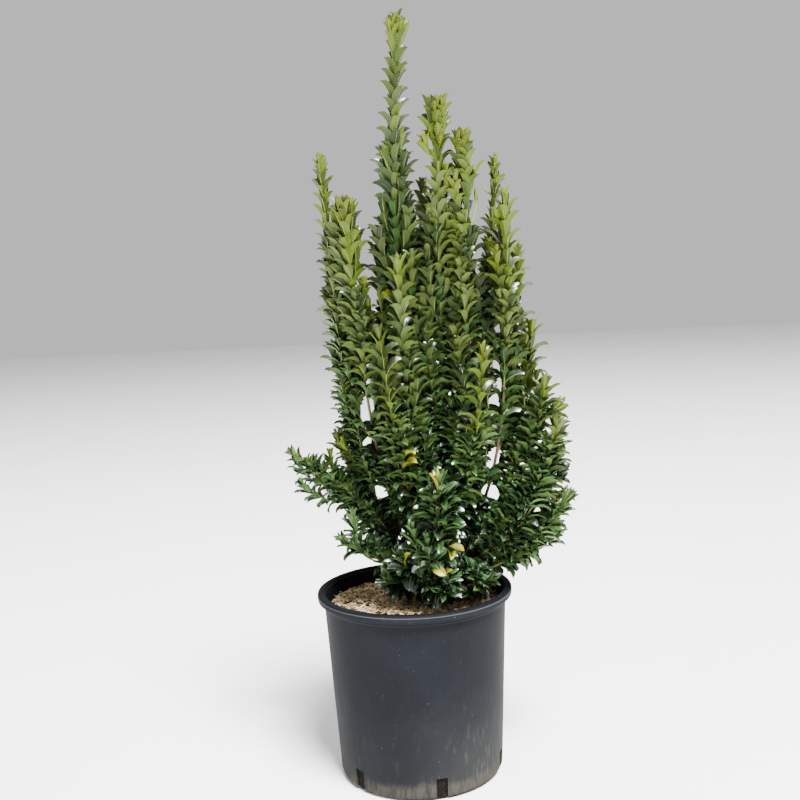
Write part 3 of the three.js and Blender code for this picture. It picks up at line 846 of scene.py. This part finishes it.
def rounded(points, radius):
    """A profile with each inner corner rounded by a short curve."""
    out = [points[0]]
    for before, here, after in zip(points, points[1:], points[2:]):
        before, here, after = (np.array(p, float) for p in (before, here, after))
        reach = min(radius, np.linalg.norm(here - before) * 0.45, np.linalg.norm(after - here) * 0.45)
        out += [*bezier([here + unit(before - here) * reach, here, here + unit(after - here) * reach], 4)]
    out.append(points[-1])
    return out


def pot_inner_radius(z):
    """The radius of the wall's inner face at a height."""
    share = z / (POT["height"] - POT["rim_drop"])
    return between((WALL["base_radius"], WALL["top_radius"]), share) - WALL["thickness"]


def slot_cutter(number):
    """A box that cuts one of the slots through the foot of the wall."""
    depth = WALL["base_radius"] + 15 - SLOTS["inner"]
    corners = BOX_CORNERS * (SLOTS["width"], depth, SLOTS["height"] + 10)
    corners += (0, -(SLOTS["inner"] + depth / 2), SLOTS["height"] / 2 - 5)
    turn = Matrix.Rotation(math.radians(SLOTS["first"] + 360 / SLOTS["count"] * number), 3, "Z")
    return mesh_piece("slot_cutter", corners @ np.array(turn).T, BOX_FACES, [], [])


def build_pot():
    """The pot, turned from its outline, with its slots cut out."""
    top = POT["height"] - POT["rim_drop"]
    base, wall, rim, height = WALL["base_radius"], WALL["top_radius"], POT["rim_radius"], POT["height"]
    outline = [
        (0, 0),
        (base - 6, 0),
        (base, 5),
        (wall, top - 5),
        (wall + 2.4, top - 3.5),
        (wall + 2.6, top),
        (rim - 0.8, top + 0.6),
        (rim, top + 4),
        (rim - 0.3, height - 1),
        (rim - 4, height),
        (pot_inner_radius(height) + 0.4, height - 0.4),
        (pot_inner_radius(POT["floor"]), POT["floor"]),
        (0, POT["floor"]),
    ]
    smooth = 35
    faces = lathe(rounded(outline, 2.2), 192)
    piece = mesh_piece("pot_shell", *faces, [pot_material()], smooth_angle=smooth)
    cutters = [slot_cutter(number) for number in range(SLOTS["count"])]
    for cutter in cutters:
        cut = piece.modifiers.new("slot", "BOOLEAN")
        cut.operation = "DIFFERENCE"
        cut.solver = "EXACT"
        cut.object = cutter
    seen = piece.evaluated_get(bpy.context.evaluated_depsgraph_get())
    piece.data = bpy.data.meshes.new_from_object(seen)
    piece.data.name = "pot_shell"
    piece.data.set_sharp_from_angle(angle=math.radians(smooth))
    piece.modifiers.clear()
    for cutter in cutters:
        bpy.data.objects.remove(cutter)
    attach(piece, "root")
    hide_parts("pot")


def pot_material():
    """Charcoal plastic, cloudy and duller at the base. Heights and places are in metres."""
    look = Look("charcoal_plastic")
    flat = look.place()
    right = look.step(look.add("ShaderNodeSeparateXYZ", "X", {"Vector": flat}), -0.02, 0.1)
    height = look.add("ShaderNodeSeparateXYZ", "Z", {"Vector": flat})
    cloud = look.noise(flat, 9.0)
    base = look.ramp(cloud, [(0.3, "0f1114"), (0.55, "14161a"), (0.75, "191a1d")])
    # Faint upright streaks of dust, most of them low on the right
    streaks = look.noise(look.place((1, 1, 0.16)), 230.0, 4.0, 0.65)
    low = look.times(look.step(height, 0.15, 0.0), look.plus(right, 0.25, True))
    haze = look.plus(look.times(look.step(streaks, 0.52, 0.76), 0.42), 0.16)
    colour = look.mix(look.times(haze, look.plus(low, 0.06, True)), base, "4d4d47")
    # A dusty foot with an uneven edge
    edge = look.plus(height, look.times(look.noise(flat, 30.0), -0.02))
    band = look.times(look.step(edge, 0.016, 0.002), look.plus(look.step(streaks, 0.36, 0.6), 0.32, True))
    colour = look.mix(look.times(band, 0.62), colour, "413e37")
    # A thin painted highlight round the rim, and the rim's top painted dark as shade
    away = look.combine("ABSOLUTE", look.combine("SUBTRACT", height, 0.2345), 0.0)
    painted_rim_highlight = look.step(away, 0.0007, 0.00028)
    colour = look.mix(look.times(painted_rim_highlight, 0.16), colour, "85848c")
    # Painted shade: the top of the rim is mixed towards black
    colour = look.mix(look.times(look.step(height, 0.2355, 0.2368), 0.7), colour, "050506")
    specks = look.step(look.noise(flat, 420.0, 2.0, 0.5), 0.7, 0.8)
    colour = look.mix(look.times(specks, 0.22), colour, "8a8c8a")
    roughness = look.plus(look.plus(look.times(cloud, 0.3), 0.45), look.times(band, 0.3), True)
    look.surface({"Base Color": colour, "Roughness": roughness, "Specular IOR Level": 0.03})
    look.surface({"Normal": look.bump(look.noise(flat, 900.0, 2.0), 0.12, 0.0006)})
    return look.material


# Soil and mulch
def mulch_height(x, y):
    """The height of the mulch's bed at a place."""
    reach = math.hypot(x, y)
    dip = max(0.0, reach - 100) / 13 * SOIL["edge_dip"]
    wave = noise.noise(Vector((x * 0.035, y * 0.035, 0.4))) * 1.6
    return SOIL["top"] - dip + wave


def soil_material():
    look = Look("potting_mix")
    lumps = look.noise(look.place(), 260.0, 5.0, 0.65)
    colour = look.ramp(lumps, [(0.35, "050403"), (0.55, "0e0a07"), (0.66, "20170e"), (0.76, "4e3b25")])
    look.surface({"Base Color": colour, "Roughness": 0.95, "Specular IOR Level": 0.1})
    look.surface({"Normal": look.bump(lumps, 0.8, 0.002)})
    return look.material


def build_soil():
    """The bed under the chips, clear of the pot, with an uneven top."""
    rings, segments, gap = 40, 96, 0.3
    low, high = POT["floor"] + gap, SOIL["top"] - SOIL["edge_dip"]
    low_radius, radius = pot_inner_radius(low) - gap, pot_inner_radius(high) - gap
    profile = [(0, low), *np.linspace((low_radius, low), (radius, high), 12)]
    profile += [(radius * (1 - (i + 1) / rings), SOIL["top"]) for i in range(rings)]
    vertices, quads, caps = lathe(profile, segments)
    for v in vertices:
        if v[2] > SOIL["top"] - 1:
            v[2] = mulch_height(v[0], v[1]) - 1.5 + noise.noise(Vector((v[0], v[1], 3)) * 0.4) * 0.8
    piece = mesh_piece("soil_bed", vertices, quads, caps, [soil_material()], smooth_angle=50)
    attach(piece, "root")
    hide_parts("soil")


# Chips of bark: how many, how long, how far out, how deep they lie, and how clear of trunk and wall
CHIPS = {"count": 4200, "length": 7.2, "reach": 112.0, "depth": 4.2, "sunk": 0.4}
CHIP_GAPS = {"trunk": 15.0, "wall": 0.4}
# Each colour and its share
CHIP_COLOURS = {
    "b3a17b": 0.08, "ad976c": 0.15, "a8926d": 0.16, "a08a66": 0.14, "968060": 0.12,
    "857158": 0.10, "6e5d47": 0.07, "a89a7d": 0.06, "968a74": 0.06, "30271d": 0.06,
}


def build_mulch():
    """Tapered chips, tilted a little, in patches of paler and darker ones."""
    rng = np.random.default_rng(SEED + 2)
    shares = np.array(list(CHIP_COLOURS.values()))
    vertices = []
    slots = []
    while len(vertices) < CHIPS["count"]:
        reach = math.sqrt(rng.random()) * CHIPS["reach"]
        turn = rng.uniform(0, 2 * math.pi)
        x, y = reach * math.cos(turn), reach * math.sin(turn)
        if math.hypot(x - TRUNK["foot"][0], y - TRUNK["foot"][1]) < CHIP_GAPS["trunk"]:
            continue
        length = rng.lognormal(math.log(CHIPS["length"]), 0.36)
        width = length * rng.uniform(0.18, 0.42)
        chip = BOX_CORNERS * (length, width, rng.uniform(0.6, 1.5))
        chip[:, 1:] *= np.where(BOX_CORNERS[:, :1] > 0, rng.uniform(0.2, 1), rng.uniform(0.3, 1))
        chip += rng.normal(0, 0.12, chip.shape)
        tilt = Matrix.Rotation(rng.uniform(0, 2 * math.pi), 3, "Z")
        tilt = tilt @ Matrix.Rotation(rng.normal(0, 0.3), 3, "Y")
        tilt = tilt @ Matrix.Rotation(rng.normal(0, 0.35), 3, "X")
        lift = rng.random() ** 1.4 * CHIPS["depth"] - CHIPS["sunk"]
        chip = chip @ np.array(tilt).T + (x, y, mulch_height(x, y) + lift)
        if np.hypot(chip[:, 0], chip[:, 1]).max() > pot_inner_radius(SOIL["top"]) - CHIP_GAPS["wall"]:
            continue
        vertices.append(chip)
        patch = noise.noise(Vector((x * 0.03, y * 0.03, 7.1)))
        pale = shares * np.linspace(1 + patch, 1 - patch, len(shares)).clip(0.1)
        slots.append(rng.choice(len(shares), p=pale / pale.sum()))
    faces = BOX_FACES + (np.arange(len(vertices)) * len(BOX_CORNERS))[:, None, None]
    looks = [plain(f"chip_{i}", colour, 0.85, 0.3) for i, colour in enumerate(CHIP_COLOURS)]
    for look in looks:
        look.uneven(900.0, 0.6)
    materials = [look.material for look in looks]
    piece = mesh_piece("mulch_chips", vertices, faces, [], materials, np.repeat(slots, len(BOX_FACES)))
    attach(piece, "root")


# Trunk and boughs with bark
def bark_material():
    look = Look("bark")
    cracks = look.noise(look.place((1, 1, 0.35)), 300.0, 5.0, 0.65)
    colour = look.ramp(cracks, [(0.3, "33281d"), (0.48, "5d4d38"), (0.62, "7d6c50"), (0.8, "9a8b6c")])
    look.surface({"Base Color": colour, "Roughness": 0.88, "Normal": look.bump(cracks, 0.7, 0.0012)})
    return look.material


def rough_radii(points, radii, limb, salt):
    """Radii round each ring of a limb, with long ridges and small lumps of bark."""
    out = []
    for point, radius in zip(points, radii):
        for k in range(limb["sides"]):
            turn = 2 * math.pi * k / limb["sides"]
            spot = Vector((math.cos(turn) * 2.2, math.sin(turn) * 2.2, point[2] * 0.05 + salt))
            out.append(radius + limb["bark"] * (noise.noise(spot) + 0.5 * noise.noise(spot * 3.1)))
    return np.array(out).reshape(len(points), -1)


def build_wood(stems):
    """The trunk with its flare, and the boughs."""
    shares = np.linspace(0, 1, TRUNK["rings"])
    points = trunk_limb.at(shares * trunk_limb.length)
    points[0, 2] -= 4
    radii = rough_radii(points, between(TRUNK_RADII, shares), TRUNK, 0.0)
    turns = np.arange(TRUNK["sides"]) * 2 * math.pi / TRUNK["sides"]
    flare = TRUNK_FLARE * np.exp(-shares * 9)
    radii += flare[:, None] * (1 + 0.25 * np.cos(5 * turns))
    tubes = [tube(points, radii, TRUNK["sides"])]
    wood = ["trunk"]
    for index, stem in enumerate(limb for limb in stems if limb.has_bough()):
        distances = np.linspace(0, stem.bare, BOUGH["rings"])
        points = stem.at(distances)
        taper = between(BOUGH["radii"], distances / stem.bare)
        tubes.append(tube(points, rough_radii(points, taper, BOUGH, index * 3.7), BOUGH["sides"]))
        wood.append(f"bough_{stem.shoot}")
    piece = mesh_piece("bark_limbs", *join_tubes(tubes), [bark_material()], smooth_angle=60)
    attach(piece, "root")
    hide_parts(*wood)


# Floor and light
FLOOR = {"half": 14000.0, "under": 0.4}
WORLD_STRENGTH = 0.66
# Each lamp's place and aim, its size and its power
LIGHTS = [
    ("key", (1.4, -2.5, 5.6), (0, 0, 0.5), 2.4, 3000),
    ("fill", (-1.7, -1.9, 1.5), (0, 0, 0.4), 0.9, 14),
    ("rim", (-0.9, 1.6, 2.4), (0, 0, 0.6), 1.0, 36),
]


def build_floor():
    """A wide pale floor just under the pot."""
    look = Look("pale_floor")
    cloud = look.noise(look.place(), 3.0, 2.0)
    look.surface({"Base Color": look.ramp(cloud, [(0.3, "e8e8e7"), (0.7, "ececeb")]), "Roughness": 0.8})
    corners = np.array([(-1, -1, 0), (1, -1, 0), (1, 1, 0), (-1, 1, 0)]) * FLOOR["half"]
    floor = mesh_piece("floor", corners - (0, 0, FLOOR["under"]), [0, 1, 2, 3], [], [look.material])


def add_light(name, place, aim, size, power):
    data = bpy.data.lights.new(name, "AREA")
    data.shape = "DISK"
    data.size = size
    data.energy = power
    light = place_object(data)
    light.location = place
    light.rotation_mode = "QUATERNION"
    light.rotation_quaternion = (Vector(aim) - Vector(place)).to_track_quat("-Z", "Y")


def set_world():
    world = bpy.data.worlds.new("studio")
    bpy.context.scene.world = world
    world.use_nodes = True
    background = world.node_tree.nodes["Background"]
    background.inputs["Color"].default_value = (1, 1, 1, 1)
    background.inputs["Strength"].default_value = WORLD_STRENGTH


aim_camera()
stems = grow_stems()
limbs = stems + grow_twigs(stems)
build_leaves(limbs)
build_twigs(limbs)
build_pot()
build_soil()
build_mulch()
build_wood(stems)
build_floor()
set_world()
for light in LIGHTS:
    add_light(*light)
